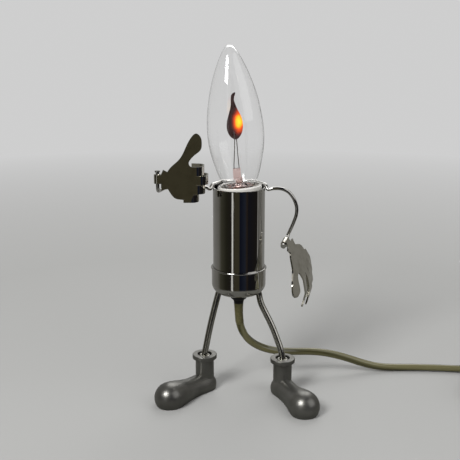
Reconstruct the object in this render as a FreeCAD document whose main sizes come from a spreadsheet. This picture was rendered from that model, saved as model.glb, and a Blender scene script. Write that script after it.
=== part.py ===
import FreeCAD, Part
import math
import os
import Sketcher
from FreeCAD import Placement, Rotation, Vector

# A desk lamp in the shape of a small walking figure. A chromed tube is the body, a clear candle
# bulb with a flame-shaped electrode is the head, two bowed rods with cast boots are the legs, and
# one bent wire carries two cut and folded sheet hands. Millimetres, +Z up, -Y is the lamp's front.

doc = FreeCAD.newDocument("RobotDeskLamp")
sheet = doc.addObject("Spreadsheet::Sheet", "Dims")

SIZES = {
    # Where the middle of the lamp's own box lies, seen from the axis of the tube
    "middle_x": -1.838,
    "middle_y": -16.169,
    # Tube, bottom cup and the plate inside it
    "tube_radius": 17.0,
    "tube_wall": 0.9,
    "tube_top": 138.8,
    "cup_bottom": 67.0,
    "cup_wall": 0.85,
    "cup_fit": 0.1,
    "cup_dome": 7.1,
    "cup_depth": 18.3,
    "lip_bead": 0.55,
    "lip_height": 1.1,
    "plate_thick": 2.5,
    "plate_edge_gap": 0.25,
    "seat_gap": 0.05,
    # Threaded pipe up the middle, its nuts and the cord's grommet
    "pipe_radius": 4.0,
    "pipe_bore": 2.75,
    "pipe_drop": 2.6,
    "pipe_fit": 0.15,
    "pipe_end": 1.2,
    "nut_across": 11.0,
    "nut_thick": 2.5,
    "grommet_radius": 6.25,
    "grommet_mouth": 4.2,
    "grommet_height": 4.6,
    "grommet_shoulder": 1.4,
    "grommet_curve": 5.0,
    "cord_fit": 0.1,
    # Legs and their nuts
    "leg_radius": 2.1,
    "leg_hole_play": 0.55,
    "leg_spread": 11.6,
    "leg_lean": 0.235,
    "leg_nut_across": 7.0,
    "leg_nut_thick": 2.4,
    "leg_nut_play": 0.45,
    "leg_end": 1.0,
    # Boots
    "boot_collar_radius": 8.2,
    "boot_collar_thick": 3.0,
    "boot_height": 25.0,
    "boot_shaft_radius": 6.2,
    "boot_recess_radius": 4.9,
    "boot_recess_depth": 1.6,
    "boot_bore_fit": 0.1,
    "boot_bore_floor": 8.0,
    "boot_heel_radius": 7.9,
    "boot_waist_radius": 7.6,
    "boot_toe_radius": 10.0,
    "boot_toe_reach": 34.5,
    "boot_sole_cut": 4.6,
    "boot_edge": 0.5,
    "left_boot_x": -23.0,
    "left_boot_y": -5.0,
    "left_boot_turn": 40.0,
    "right_boot_x": 29.4,
    "right_boot_y": -12.0,
    "right_boot_turn": 20.5,
    # Lampholder, measured down from the tube's rim along its own leaning axis
    "holder_lean": 4.4,
    "holder_offset": 0.5,
    "holder_rise": 1.5,
    "holder_ring_gap": 1.7,
    "holder_body_gap": 3.7,
    "holder_ring_depth": 8.0,
    "holder_skirt": 5.0,
    "holder_edge": 0.6,
    "holder_ring_wall": 2.1,
    "mouth_depth": 7.0,
    "shell_radius": 7.9,
    "shell_wall": 0.5,
    "shell_top": 9.5,
    "shell_floor_gap": 1.0,
    "shell_fit": 0.1,
    "contact_hole": 2.0,
    "leaf_room": 3.5,
    "bracket_width": 10.0,
    "bracket_thick": 1.0,
    "bracket_gap": 0.3,
    "pivot_depth": 28.0,
    "pivot_screw_radius": 1.25,
    "pivot_head_radius": 2.2,
    "pivot_head_thick": 0.9,
    "pivot_reach": 3.0,
    "terminal_width": 5.0,
    "terminal_height": 4.2,
    "terminal_offset": 7.4,
    "terminal_screw_radius": 1.2,
    "lead_radius": 0.9,
    "lead_room": 5.9,
    # Bulb
    "cap_radius": 6.95,
    "cap_wall": 0.35,
    "cap_top": 6.6,
    "cap_depth": 24.0,
    "insulator_height": 2.2,
    "contact_radius": 2.3,
    "contact_rise": 1.3,
    "glass_wall": 0.8,
    "stem_foot": 0.2,
    "stem_flare": 8.2,
    "stem_flare_thick": 0.7,
    "stem_curve": 2.6,
    "stem_tube": 2.4,
    "stem_height": 12.6,
    "stem_disc_radius": 8.6,
    "stem_disc_thick": 0.5,
    "press_centre": -1.1,
    "press_width": 5.0,
    "press_thick": 2.6,
    "flame_thick": 0.35,
    "flame_gap": 1.3,
    "flame_wire_radius": 0.28,
    # Arms, one wire
    "wire_radius": 1.15,
    "wire_seat": 0.1,
    "wire_head_radius": 1.75,
    "wire_head_thick": 0.8,
    # Hands
    "hand_thick": 1.1,
    "knuckle_play": 0.06,
    "knuckle_width": 5.7,
    "knuckle_offset": 1.0,
    "knuckle_back": 2.1,
    # Cord, coil and plug
    "cord_radius": 2.6,
    "coil_pitch": 5.7,
    "coil_inner": 15.6,
    "coil_turn_step": 1.5,
    "plug_width": 22.0,
    "plug_thick": 15.0,
    "plug_length": 27.0,
    "plug_neck_length": 16.0,
    "plug_neck_tip": 3.3,
    "plug_round": 3.0,
    "blade_spacing": 12.7,
    "blade_width": 6.3,
    "blade_thick": 1.5,
    "blade_length": 16.0,
}

for row, (alias, value) in enumerate(SIZES.items(), start=1):
    sheet.set(f"A{row}", alias)
    sheet.set(f"B{row}", str(value))
    sheet.setAlias(f"B{row}", alias)
doc.recompute()


class Size:
    """A size in millimetres, with the sheet's own words for how it is worked out."""

    def __init__(self, value, words):
        self.value = value
        self.words = words

    @staticmethod
    def of(thing):
        return thing if isinstance(thing, Size) else Size(float(thing), f"({thing})")

    def __add__(self, other):
        other = Size.of(other)
        return Size(self.value + other.value, f"({self.words} + {other.words})")

    def __sub__(self, other):
        other = Size.of(other)
        return Size(self.value - other.value, f"({self.words} - {other.words})")

    def __mul__(self, other):
        other = Size.of(other)
        return Size(self.value * other.value, f"({self.words} * {other.words})")

    def __truediv__(self, other):
        other = Size.of(other)
        return Size(self.value / other.value, f"({self.words} / {other.words})")

    def __neg__(self):
        return Size(-self.value, f"(0 - {self.words})")


class Dims:
    """Reads a size from the sheet by its name."""

    def __getattr__(self, name):
        return Size(float(sheet.get(name)), f"Dims.{name}")


d = Dims()
pieces = {}


def keep(node, thing):
    """Names a finished piece."""
    thing.Label = node
    pieces[node] = thing
    return thing


def seat(thing, x, y, z, turn=Rotation()):
    """Places a piece at sizes measured from the tube's axis on the floor."""
    x, y, z = Size.of(x) - d.middle_x, Size.of(y) - d.middle_y, Size.of(z)
    thing.Placement = Placement(Vector(x.value, y.value, z.value), turn)
    thing.setExpression("Placement.Base.x", x.words)
    thing.setExpression("Placement.Base.y", y.words)
    thing.setExpression("Placement.Base.z", z.words)


def new_body(name):
    return doc.addObject("PartDesign::Body", name)


def plane_sketch(body, role, name, lift=None):
    """A sketch on one of the body's own origin planes, raised by a size where one is given."""
    plane = [item for item in body.Origin.OriginFeatures if item.Role == role][0]
    sketch = body.newObject("Sketcher::SketchObject", name)
    sketch.AttachmentSupport = [(plane, "")]
    sketch.MapMode = "FlatFace"
    if lift is not None:
        sketch.AttachmentOffset = Placement(Vector(0, 0, lift.value), Rotation())
        sketch.setExpression("AttachmentOffset.Base.z", lift.words)
    doc.recompute()
    return sketch


def bind(sketch, kind, places, size):
    """One dimension of a sketch, tied to the sheet."""
    number = sketch.addConstraint(Sketcher.Constraint(kind, *places, size.value))
    sketch.setExpression(f"Constraints[{number}]", size.words)


def outline(sketch, points):
    """Closed edges through points (x, y), or (x, y, radius) where an arc leads to the point.

    A positive radius bulges to the right of the way from the last point. Each point is tied to
    the sheet by its distances from the sketch's origin.
    """
    points = [tuple(Size.of(number) for number in point) for point in points]
    count = len(points)
    for index in range(count):
        last = points[index - 1]
        here = points[index]
        start = Vector(last[0].value, last[1].value, 0)
        end = Vector(here[0].value, here[1].value, 0)
        if len(here) == 2:
            sketch.addGeometry(Part.LineSegment(start, end))
            continue
        radius = here[2].value
        chord = end - start
        rise = math.sqrt(max(radius**2 - (chord.Length / 2) ** 2, 0.0))
        side = Vector(chord.y, -chord.x, 0).normalize() * (1 if radius > 0 else -1)
        centre = (start + end) * 0.5 - side * rise
        first, second = (start, end) if radius > 0 else (end, start)
        from_angle = math.atan2(first.y - centre.y, first.x - centre.x)
        to_angle = math.atan2(second.y - centre.y, second.x - centre.x)
        whole = Part.Circle(centre, Vector(0, 0, 1), abs(radius))
        sketch.addGeometry(Part.ArcOfCircle(whole, from_angle, to_angle))
    placed = []
    for point in points:
        turns_back = len(point) == 3 and point[2].value < 0
        placed.append((2, 1) if turns_back else (1, 2))
    for index in range(count):
        after = (index + 1) % count
        ends = placed[index][1]
        begins = placed[after][0]
        sketch.addConstraint(Sketcher.Constraint("Coincident", index, ends, after, begins))
    for index, point in enumerate(points):
        ends = placed[index][1]
        for kind, size in (("DistanceX", point[0]), ("DistanceY", point[1])):
            bind(sketch, kind, (-1, 1, index, ends), size)
        if len(point) == 3:
            radius = point[2] if point[2].value > 0 else -point[2]
            bind(sketch, "Radius", (index,), radius)


def circle(sketch, x, y, radius):
    """A circle whose centre and radius are tied to the sheet."""
    x, y, radius = Size.of(x), Size.of(y), Size.of(radius)
    number = sketch.addGeometry(
        Part.Circle(Vector(x.value, y.value, 0), Vector(0, 0, 1), radius.value)
    )
    bind(sketch, "DistanceX", (-1, 1, number, 3), x)
    bind(sketch, "DistanceY", (-1, 1, number, 3), y)
    bind(sketch, "Radius", (number,), radius)


def turned(name, points):
    """A body turned about Z from a profile of (radius, height) points."""
    body = new_body(name)
    sketch = plane_sketch(body, "XZ_Plane", f"{name}_profile")
    outline(sketch, points)
    revolution = body.newObject("PartDesign::Revolution", f"{name}_turned")
    revolution.Profile = sketch
    revolution.ReferenceAxis = (sketch, ["V_Axis"])
    revolution.Angle = 360
    sketch.Visibility = False
    doc.recompute()
    return body


def pad(body, sketch, length, both_ways=False):
    feature = body.newObject("PartDesign::Pad", f"{sketch.Name}_pad")
    feature.Profile = sketch
    feature.Length = length.value
    feature.setExpression("Length", length.words)
    feature.Midplane = both_ways
    doc.recompute()
    return feature


def pocket(body, sketch, length, both_ways=False):
    """Cuts a sketch out of a body, upward from it or to both sides of it.

    It stops the build where the cut takes nothing away.
    """
    before = body.Shape.Volume
    feature = body.newObject("PartDesign::Pocket", f"{sketch.Name}_cut")
    feature.Profile = sketch
    feature.Length = length.value
    feature.setExpression("Length", length.words)
    feature.Midplane = both_ways
    feature.Reversed = not both_ways
    doc.recompute()
    if body.Shape.Volume > before - 1e-6:
        raise ValueError(f"{sketch.Name} cuts nothing")
    return feature


def solid_piece(node, shape):
    """A piece whose shape is worked out here. The shape is in the tube's own place."""
    feature = doc.addObject("Part::Feature", node)
    feature.Shape = shape
    seat(feature, 0, 0, 0)
    return keep(node, feature)


def moved(shape, place):
    """A shape at another place, wrapped so that seating it keeps that place."""
    shape = shape.copy()
    shape.Placement = place.multiply(shape.Placement)
    return Part.makeCompound([shape])


def fused(first, *others):
    return first.multiFuse(list(others)).removeSplitter()


def rounded_path(points, share=0.45, show=None):
    """Straight runs joined by tangent arcs, each as large as share of its shorter run allows."""
    points = [Vector(*point) for point in points]
    edges = []
    start = points[0]
    length = 0.0
    radii = []
    for before, here, after in zip(points, points[1:], points[2:]):
        way_in = (here - before).normalize()
        way_out = (after - here).normalize()
        turn = way_in.getAngle(way_out)
        shorter = min((here - before).Length, (after - here).Length)
        back = share * shorter
        radius = back / math.tan(turn / 2)
        radii.append(radius)
        arc_start = here - way_in * back
        arc_end = here + way_out * back
        inward = (way_out - way_in).normalize()
        middle = here + inward * (radius / math.cos(turn / 2) - radius)
        edges.append(Part.LineSegment(start, arc_start).toShape())
        edges.append(Part.Arc(arc_start, middle, arc_end).toShape())
        length += (arc_start - start).Length + radius * turn
        start = arc_end
    edges.append(Part.LineSegment(start, points[-1]).toShape())
    length += (points[-1] - start).Length
    if show:
        shown = ", ".join(f"{radius:.0f}" for radius in radii)
        print(f"{show}: {length:.1f} mm long, arc radii {shown} mm")
    return Part.Wire(edges), length


def round_tube(path, radius):
    """A round rod along a path of straight runs and arcs."""
    start = path.Edges[0].valueAt(path.Edges[0].FirstParameter)
    way = path.Edges[0].tangentAt(path.Edges[0].FirstParameter)
    section = Part.Wire([Part.Circle(start, way, radius).toShape()])
    return path.makePipeShell([section], True, False)


# Body tube: a plain drawn tube with a lightly broken edge at the rim
plate_radius = d.tube_radius - d.plate_edge_gap
dome_inner = d.cup_dome - d.cup_wall
cup_outer = d.tube_radius + d.cup_fit + d.cup_wall
dome_centre = cup_outer - d.cup_dome
dome_top = d.cup_bottom + d.cup_dome
plate_edge = plate_radius.value - dome_centre.value
plate_drop = math.sqrt(dome_inner.value**2 - plate_edge**2)
plate_bottom = dome_top - plate_drop + d.seat_gap
plate_top = plate_bottom + d.plate_thick
tube_bottom = plate_top + d.seat_gap
tube_bore = d.tube_radius - d.tube_wall
RIM_BREAK = 0.25

body_tube = turned(
    "body_tube",
    [
        (tube_bore, tube_bottom),
        (d.tube_radius, tube_bottom),
        (d.tube_radius, d.tube_top - RIM_BREAK),
        (d.tube_radius - RIM_BREAK, d.tube_top),
        (tube_bore, d.tube_top),
    ],
)
keep("body_tube", body_tube)
seat(body_tube, 0, 0, 0)

# Bottom cup: a spun cup round the tube's foot, with a beaded lip and holes for the pipe and legs
cup_top = d.cup_bottom + d.cup_depth
cup_bore = d.tube_radius + d.cup_fit
cup_floor = d.cup_bottom + d.cup_wall
pipe_hole = d.pipe_radius + d.pipe_fit
bottom_cup = turned(
    "bottom_cup",
    [
        (pipe_hole, d.cup_bottom),
        (dome_centre, d.cup_bottom),
        (cup_outer, dome_top, d.cup_dome),
        (cup_outer, cup_top - d.lip_height),
        (cup_outer, cup_top, d.lip_bead),
        (cup_bore, cup_top),
        (cup_bore, dome_top),
        (dome_centre, cup_floor, -dome_inner),
        (pipe_hole, cup_floor),
    ],
)
leg_hole = d.leg_radius + d.leg_hole_play
leg_at_cup = d.leg_spread + (plate_top - d.cup_bottom) * d.leg_lean
for side, name in ((-1, "left"), (1, "right")):
    hole = plane_sketch(bottom_cup, "XY_Plane", f"{name}_leg_hole", d.cup_bottom - 1)
    circle(hole, leg_at_cup * side, 0, leg_hole)
    pocket(bottom_cup, hole, d.cup_dome)
keep("bottom_cup", bottom_cup)
seat(bottom_cup, 0, 0, 0)

# Leg plate: a thick disc in the cup that both legs and the pipe pass through
leg_plate = turned(
    "leg_plate",
    [
        (pipe_hole, plate_bottom),
        (plate_radius, plate_bottom),
        (plate_radius, plate_top),
        (pipe_hole, plate_top),
    ],
)
for side, name in ((-1, "left"), (1, "right")):
    hole = plane_sketch(leg_plate, "XY_Plane", f"{name}_plate_hole", plate_bottom - 1)
    circle(hole, (d.leg_spread + d.plate_thick * d.leg_lean / 2) * side, 0, leg_hole)
    pocket(leg_plate, hole, d.plate_thick + 2)
keep("leg_plate", leg_plate)
seat(leg_plate, 0, 0, 0)

# Heights and widths of the lampholder, which follow from the bulb's cap and the tube's bore. Its
# depths are measured down from the rim along its own leaning axis.
lean_angle = math.radians(d.holder_lean.value)
holder_ring_radius = tube_bore - d.holder_ring_gap
holder_body_radius = tube_bore - d.holder_body_gap
mouth_radius = holder_ring_radius - d.holder_ring_wall
contact_tip = d.cap_depth + d.insulator_height + d.contact_rise
holder_floor = contact_tip + d.leaf_room
holder_depth = holder_floor + d.holder_skirt
shell_depth = holder_floor - d.shell_floor_gap
terminal_low = holder_depth + d.seat_gap + d.terminal_height

# Lamp pipe: a threaded tube that clamps cup, plate and bracket and leads the cord up
pipe_bottom = d.cup_bottom - d.pipe_drop
pipe_top = d.tube_top - terminal_low * round(math.cos(lean_angle), 5) - d.lead_room
nut_above_bracket = pipe_top - d.pipe_end - d.nut_thick
bracket_base = nut_above_bracket - d.seat_gap - d.bracket_thick
lamp_pipe = turned(
    "lamp_pipe",
    [
        (d.pipe_bore, pipe_bottom),
        (d.pipe_radius, pipe_bottom),
        (d.pipe_radius, pipe_top),
        (d.pipe_bore, pipe_top),
    ],
)
keep("lamp_pipe", lamp_pipe)
seat(lamp_pipe, 0, 0, 0)


def hexagon_nut(across, bore, thick):
    """A six-sided nut with a plain bore, its underside at height zero."""
    far = across.value / math.sqrt(3)
    corners = [
        Vector(far * math.cos(math.radians(60 * k)), far * math.sin(math.radians(60 * k)), 0)
        for k in range(7)
    ]
    block = Part.Face(Part.makePolygon(corners)).extrude(Vector(0, 0, thick.value))
    rounding = Part.makeCone(
        far + thick.value * 1.2, far * 0.93, thick.value, Vector(0, 0, 0), Vector(0, 0, 1)
    )
    hole = Part.makeCylinder(bore.value, thick.value + 2, Vector(0, 0, -1))
    return block.common(rounding).cut(hole)


# Pipe nuts: one on the plate, one each side of the bracket's base
pipe_nut_bore = d.pipe_radius + d.seat_gap
pipe_nuts = []
for height in (
    plate_top + d.seat_gap,
    bracket_base - d.nut_thick - d.seat_gap,
    nut_above_bracket,
):
    nut = hexagon_nut(d.nut_across, pipe_nut_bore, d.nut_thick)
    nut.translate(Vector(0, 0, height.value))
    pipe_nuts.append(nut)
solid_piece("pipe_nuts", Part.makeCompound(pipe_nuts))

# Cord grommet: a black tapered bush screwed on the pipe's lower end
grommet_top = d.cup_bottom - d.seat_gap
grommet_bottom = grommet_top - d.grommet_height
grommet_bore = d.cord_radius + d.cord_fit
cord_grommet = turned(
    "cord_grommet",
    [
        (pipe_hole, grommet_top),
        (pipe_hole, pipe_bottom - d.seat_gap),
        (grommet_bore, pipe_bottom - d.seat_gap),
        (grommet_bore, grommet_bottom),
        (d.grommet_mouth, grommet_bottom),
        (d.grommet_radius, grommet_top - d.grommet_shoulder, d.grommet_curve),
        (d.grommet_radius, grommet_top),
    ],
)
keep("cord_grommet", cord_grommet)
seat(cord_grommet, 0, 0, 0)

# Legs: two chromed rods, bowed, nutted on the plate and set in the boots
LEG_ROUTES = {
    "left": [(-15.3, -1.0, 60.0), (-19.2, -2.8, 44.0), (-22.0, -4.4, 30.0)],
    "right": [(14.7, -1.9, 60.0), (22.9, -6.6, 44.5), (28.0, -10.6, 31.0)],
}
boots = {
    "left": (d.left_boot_x, d.left_boot_y, d.left_boot_turn, -1),
    "right": (d.right_boot_x, d.right_boot_y, d.right_boot_turn, 1),
}
leg_nut_bottom = plate_top + d.seat_gap
leg_top = leg_nut_bottom + d.leg_nut_thick + d.leg_end
leg_foot = d.boot_bore_floor + 0.3
leg_nuts = []
for name, route in LEG_ROUTES.items():
    boot_x, boot_y, boot_turn, side = boots[name]
    lean = d.leg_lean.value * side
    top_x = d.leg_spread.value * side
    top = (top_x - (leg_top - plate_top).value * lean, 0.0, leg_top.value)
    low = (top_x + (plate_top - d.cup_bottom).value * lean, 0.0, d.cup_bottom.value)
    ankle = (boot_x.value, boot_y.value, d.boot_height.value)
    foot = (boot_x.value, boot_y.value, leg_foot.value)
    path = rounded_path([top, low, *route, ankle, foot])[0]
    solid_piece(f"leg_{name}", round_tube(path, d.leg_radius.value))
    nut = hexagon_nut(d.leg_nut_across, d.leg_radius + d.leg_nut_play, d.leg_nut_thick)
    nut_middle = top_x - (leg_nut_bottom + d.leg_nut_thick / 2 - plate_top).value * lean
    nut.translate(Vector(nut_middle, 0, leg_nut_bottom.value))
    leg_nuts.append(nut)
solid_piece("leg_nuts", Part.makeCompound(leg_nuts))


def cast_boot():
    """One boot on its ankle's axis, toe towards -Y, sole at height zero.

    The foot is turned about a line through its length, fat at the toe and drawn in at the waist,
    and cut flat underneath. The shaft and its collar stand on the heel.
    """
    heel, waist = d.boot_heel_radius.value, d.boot_waist_radius.value
    toe, reach = d.boot_toe_radius.value, d.boot_toe_reach.value
    cut = d.boot_sole_cut.value
    length = reach + toe
    slant = math.sqrt(0.5)
    heel_end = Part.Arc(
        Vector(0, -heel, 0), Vector(heel * slant, -heel * slant, 0), Vector(heel, 0, 0)
    )
    side = Part.BezierCurve()
    side.setPoles(
        [
            Vector(heel, 0, 0),
            Vector(heel, reach * 0.22, 0),
            Vector(waist * 2 - toe, reach * 0.5, 0),
            Vector(toe, reach * 0.74, 0),
            Vector(toe, reach, 0),
        ]
    )
    toe_end = Part.Arc(
        Vector(toe, reach, 0), Vector(toe * slant, reach + toe * slant, 0), Vector(0, length, 0)
    )
    axis = Part.LineSegment(Vector(0, length, 0), Vector(0, -heel, 0))
    lines = [line.toShape() for line in (heel_end, side, toe_end, axis)]
    profile = Part.Face(Part.Wire(lines))
    foot = profile.revolve(Vector(0, 0, 0), Vector(0, 1, 0), 360)
    rise = math.degrees(math.atan2(toe - heel, reach))
    foot.rotate(Vector(0, 0, 0), Vector(1, 0, 0), rise)
    foot.translate(Vector(0, 0, heel - cut))
    foot.rotate(Vector(0, 0, 0), Vector(0, 0, 1), 180)
    below = Part.makeBox(4 * length, 4 * length, length, Vector(-2 * length, -2 * length, -length))
    foot = foot.cut(below)
    height, collar = d.boot_height.value, d.boot_collar_thick.value
    shaft_radius, collar_radius = d.boot_shaft_radius.value, d.boot_collar_radius.value
    shaft = Part.makeCylinder(shaft_radius, height - heel, Vector(0, 0, heel))
    ring = Part.makeCylinder(collar_radius, collar, Vector(0, 0, height - collar))
    ring = ring.makeFillet(d.boot_edge.value, [edge for edge in ring.Edges if edge.Length > 10])
    boot = fused(foot, shaft, ring)
    recess = Part.makeCylinder(
        d.boot_recess_radius.value, d.boot_recess_depth.value + 1,
        Vector(0, 0, height - d.boot_recess_depth.value),
    )
    bore = Part.makeCylinder(
        (d.leg_radius + d.boot_bore_fit).value, height, Vector(0, 0, d.boot_bore_floor.value)
    )
    return boot.cut(recess).cut(bore)


for name, (boot_x, boot_y, boot_turn, side) in boots.items():
    boot = doc.addObject("Part::Feature", f"boot_{name}")
    boot.Shape = cast_boot()
    seat(boot, boot_x, boot_y, 0, Rotation(Vector(0, 0, 1), boot_turn.value * side))
    keep(f"boot_{name}", boot)

# Lampholder and bulb share one axis, which leans towards the left hand
holder_turn = Rotation(Vector(0, 1, 0), -d.holder_lean.value)


def lean(thing):
    """Places a piece that is measured from the rim along the lampholder's axis."""
    seat(thing, d.holder_offset, 0, d.tube_top, holder_turn)


def leaning_piece(node, shape):
    feature = doc.addObject("Part::Feature", node)
    feature.Shape = shape
    lean(feature)
    return keep(node, feature)


# Lampholder: a porcelain cup with a deep mouth, a shell bore and a hollow skirt
shell_bore = d.shell_radius + d.shell_fit
lampholder_body = turned(
    "lampholder_body",
    [
        (mouth_radius, d.holder_rise - d.holder_edge),
        (mouth_radius, -d.mouth_depth),
        (shell_bore, -(d.shell_top - d.holder_edge)),
        (shell_bore, -holder_floor),
        (d.contact_hole, -holder_floor),
        (d.contact_hole, -holder_depth),
        (holder_body_radius, -holder_depth),
        (holder_body_radius, -(d.holder_ring_depth + 2)),
        (holder_ring_radius, -d.holder_ring_depth),
        (holder_ring_radius, d.holder_rise - d.holder_edge),
        (holder_ring_radius - d.holder_edge, d.holder_rise, -d.holder_edge),
        (mouth_radius + d.holder_edge, d.holder_rise),
    ],
)
screw_hole = plane_sketch(lampholder_body, "XZ_Plane", "pivot_holes")
circle(screw_hole, 0, -d.pivot_depth, d.pivot_screw_radius + 0.1)
pocket(lampholder_body, screw_hole, holder_body_radius * 3, True)
keep("lampholder_body", lampholder_body)
lean(lampholder_body)

# Screw shell: brass, open at the top, with a hole in its floor for the contact
shell_inner = d.shell_radius - d.shell_wall
screw_shell = turned(
    "screw_shell",
    [
        (shell_inner, -d.shell_top),
        (shell_inner, -(shell_depth - d.shell_wall)),
        (d.contact_hole * 2, -(shell_depth - d.shell_wall)),
        (d.contact_hole * 2, -shell_depth),
        (d.shell_radius, -shell_depth),
        (d.shell_radius, -d.shell_top),
    ],
)
keep("screw_shell", screw_shell)
lean(screw_shell)

# Bracket: a strip bent to a U on the pipe, whose ears hold the lampholder by two side screws.
# The lampholder can lean about those screws, which is why the bulb stands askew.
ear_inside = holder_body_radius + d.bracket_gap
ear_outside = ear_inside + d.bracket_thick
pivot_height = d.tube_top.value - math.cos(lean_angle) * d.pivot_depth.value
pivot_x = d.holder_offset.value + math.sin(lean_angle) * d.pivot_depth.value
ear_top = Size.of(round(pivot_height, 3)) + d.pivot_head_radius + 0.6
bracket_top = bracket_base + d.bracket_thick
holder_bracket = new_body("holder_bracket")
strip = plane_sketch(holder_bracket, "YZ_Plane", "bracket_strip")
outline(
    strip,
    [
        (-ear_outside, bracket_base),
        (ear_outside, bracket_base),
        (ear_outside, ear_top),
        (ear_inside, ear_top),
        (ear_inside, bracket_top),
        (-ear_inside, bracket_top),
        (-ear_inside, ear_top),
        (-ear_outside, ear_top),
    ],
)
pad(holder_bracket, strip, d.bracket_width, True)
pipe_cut = plane_sketch(holder_bracket, "XY_Plane", "bracket_pipe_hole", bracket_base - 1)
circle(pipe_cut, 0, 0, pipe_hole)
pocket(holder_bracket, pipe_cut, d.bracket_thick + 2)
ear_holes = plane_sketch(holder_bracket, "XZ_Plane", "bracket_ear_holes")
circle(ear_holes, round(pivot_x, 3), round(pivot_height, 3), d.pivot_screw_radius + 0.15)
pocket(holder_bracket, ear_holes, ear_outside * 3, True)
keep("holder_bracket", holder_bracket)
seat(holder_bracket, 0, 0, 0)

# Side screws: they pass the ears and end in the porcelain
pivot_screws = []
for side in (-1, 1):
    outward = Vector(0, side, 0)
    tip = holder_body_radius.value - d.pivot_reach.value
    shank_length = ear_outside.value + 0.1 - tip
    middle = Vector(pivot_x, 0, pivot_height)
    shank = Part.makeCylinder(
        d.pivot_screw_radius.value, shank_length, middle + outward * tip, outward
    )
    head = Part.makeCylinder(
        d.pivot_head_radius.value, d.pivot_head_thick.value,
        middle + outward * (ear_outside.value + 0.05), outward,
    )
    slot = Part.makeBox(0.6, 0.5, 6)
    slot_y = ear_outside.value + d.pivot_head_thick.value - 0.35
    slot.translate(Vector(pivot_x - 0.3, slot_y if side > 0 else -slot_y - 0.5, pivot_height - 3))
    pivot_screws.append(fused(shank, head).cut(slot))
solid_piece("pivot_screws", Part.makeCompound(pivot_screws))

# Centre contact: a rivet through the floor with a sprung leaf bent up over it
rivet = Part.makeCylinder(
    d.contact_hole.value - 0.1, d.holder_skirt.value + 0.5,
    Vector(0, 0, -holder_depth.value),
)
leaf_low = -holder_floor.value + 0.1
leaf_high = -contact_tip.value - 0.2
leaf = Part.makePolygon(
    [
        Vector(-3.4, -1.6, leaf_low),
        Vector(3.2, -1.6, leaf_low),
        Vector(3.6, -1.6, leaf_low + 0.5),
        Vector(0.4, -1.6, leaf_high),
        Vector(-2.2, -1.6, leaf_high - 0.2),
        Vector(-2.2, -1.6, leaf_high - 0.6),
        Vector(0.2, -1.6, leaf_high - 0.4),
        Vector(2.4, -1.6, leaf_low + 0.5),
        Vector(-3.4, -1.6, leaf_low + 0.5),
        Vector(-3.4, -1.6, leaf_low),
    ]
)
leaf = Part.Face(leaf).extrude(Vector(0, 3.2, 0))
leaning_piece("centre_contact", fused(rivet, leaf))

# Terminals: two brass blocks under the porcelain, each with its screw
terminal_top = -holder_depth.value - 0.05
half = d.terminal_width.value / 2
terminals = []
terminal_screws = []
for side in (-1, 1):
    reach = d.terminal_offset.value * side
    block = Part.makeBox(
        half * 2, half * 2, d.terminal_height.value,
        Vector(reach - half, -half, terminal_top - d.terminal_height.value),
    )
    wire_hole = Part.makeCylinder(
        d.lead_radius.value + 0.1, 3.0, Vector(reach, 0, terminal_top - d.terminal_height.value - 1)
    )
    screw_hole = Part.makeCylinder(
        d.terminal_screw_radius.value + 0.05, half * 2 + 2,
        Vector(reach, -half - 1, terminal_top - d.terminal_height.value / 2 + 0.4), Vector(0, 1, 0),
    )
    terminals.append(block.cut(wire_hole).cut(screw_hole))
    screw = Part.makeCylinder(
        d.terminal_screw_radius.value, half * 2,
        Vector(reach, -half - 0.9, terminal_top - d.terminal_height.value / 2 + 0.4), Vector(0, 1, 0),
    )
    terminal_screws.append(screw)
leaning_piece("terminals", Part.makeCompound(terminals))
leaning_piece("terminal_screws", Part.makeCompound(terminal_screws))

# Inner cord in the pipe, and the two leads that fan out from it to the terminals
inner_cord = Part.makeCylinder(
    (d.cord_radius - 0.05).value, (pipe_top - grommet_bottom).value,
    Vector(0, 0, grommet_bottom.value),
)
solid_piece("inner_cord", inner_cord)
leads = []
holder_place = Placement(
    Vector(d.holder_offset.value, 0, d.tube_top.value), holder_turn
)
for side in (-1, 1):
    low = Vector(1.25 * side, 0, pipe_top.value + 0.05)
    block_low = terminal_top - d.terminal_height.value
    high = holder_place.multVec(Vector(d.terminal_offset.value * side, 0, block_low + 1.0))
    under = holder_place.multVec(Vector(d.terminal_offset.value * side, 0, block_low - 1.2))
    path = rounded_path([low, low + Vector(0, 0, 1.6), under, high])[0]
    leads.append(round_tube(path, d.lead_radius.value))
solid_piece("inner_leads", Part.makeCompound(leads))

# Bulb glass: a clear candle shape, (height above the rim, radius) along its own axis
GLASS = [
    (-6.0, 6.35), (-2.5, 7.7), (2.6, 10.7), (6.6, 12.6), (13.8, 14.8), (24.3, 17.2), (32.6, 18.1),
    (40.7, 18.0), (48.6, 17.2), (56.7, 15.8), (66.1, 13.4), (76.0, 9.9), (84.6, 5.9),
    (88.3, 3.7), (90.2, 1.9), (90.7, 0.0),
]


def glass_line(wall):
    """The glass's outline, or its inside where wall is more than zero."""
    tall = GLASS[-1][0]
    points = [
        Vector(radius * (1 - wall / GLASS[6][1]) if height > tall - 8 else radius - wall, 0,
               height - (wall if height > tall - 8 else 0))
        for height, radius in GLASS
    ]
    line = Part.BSplineCurve()
    line.interpolate(points)
    return line.toShape()


outer_line = glass_line(0.0)
inner_line = glass_line(d.glass_wall.value)
low_edge = Part.LineSegment(inner_line.Vertexes[0].Point, outer_line.Vertexes[0].Point)
tip_edge = Part.LineSegment(outer_line.Vertexes[-1].Point, inner_line.Vertexes[-1].Point)
glass_face = Part.Face(
    Part.Wire([low_edge.toShape(), outer_line, tip_edge.toShape(), inner_line])
)
leaning_piece("bulb_glass", glass_face.revolve(Vector(0, 0, 0), Vector(0, 0, 1), 360))

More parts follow.
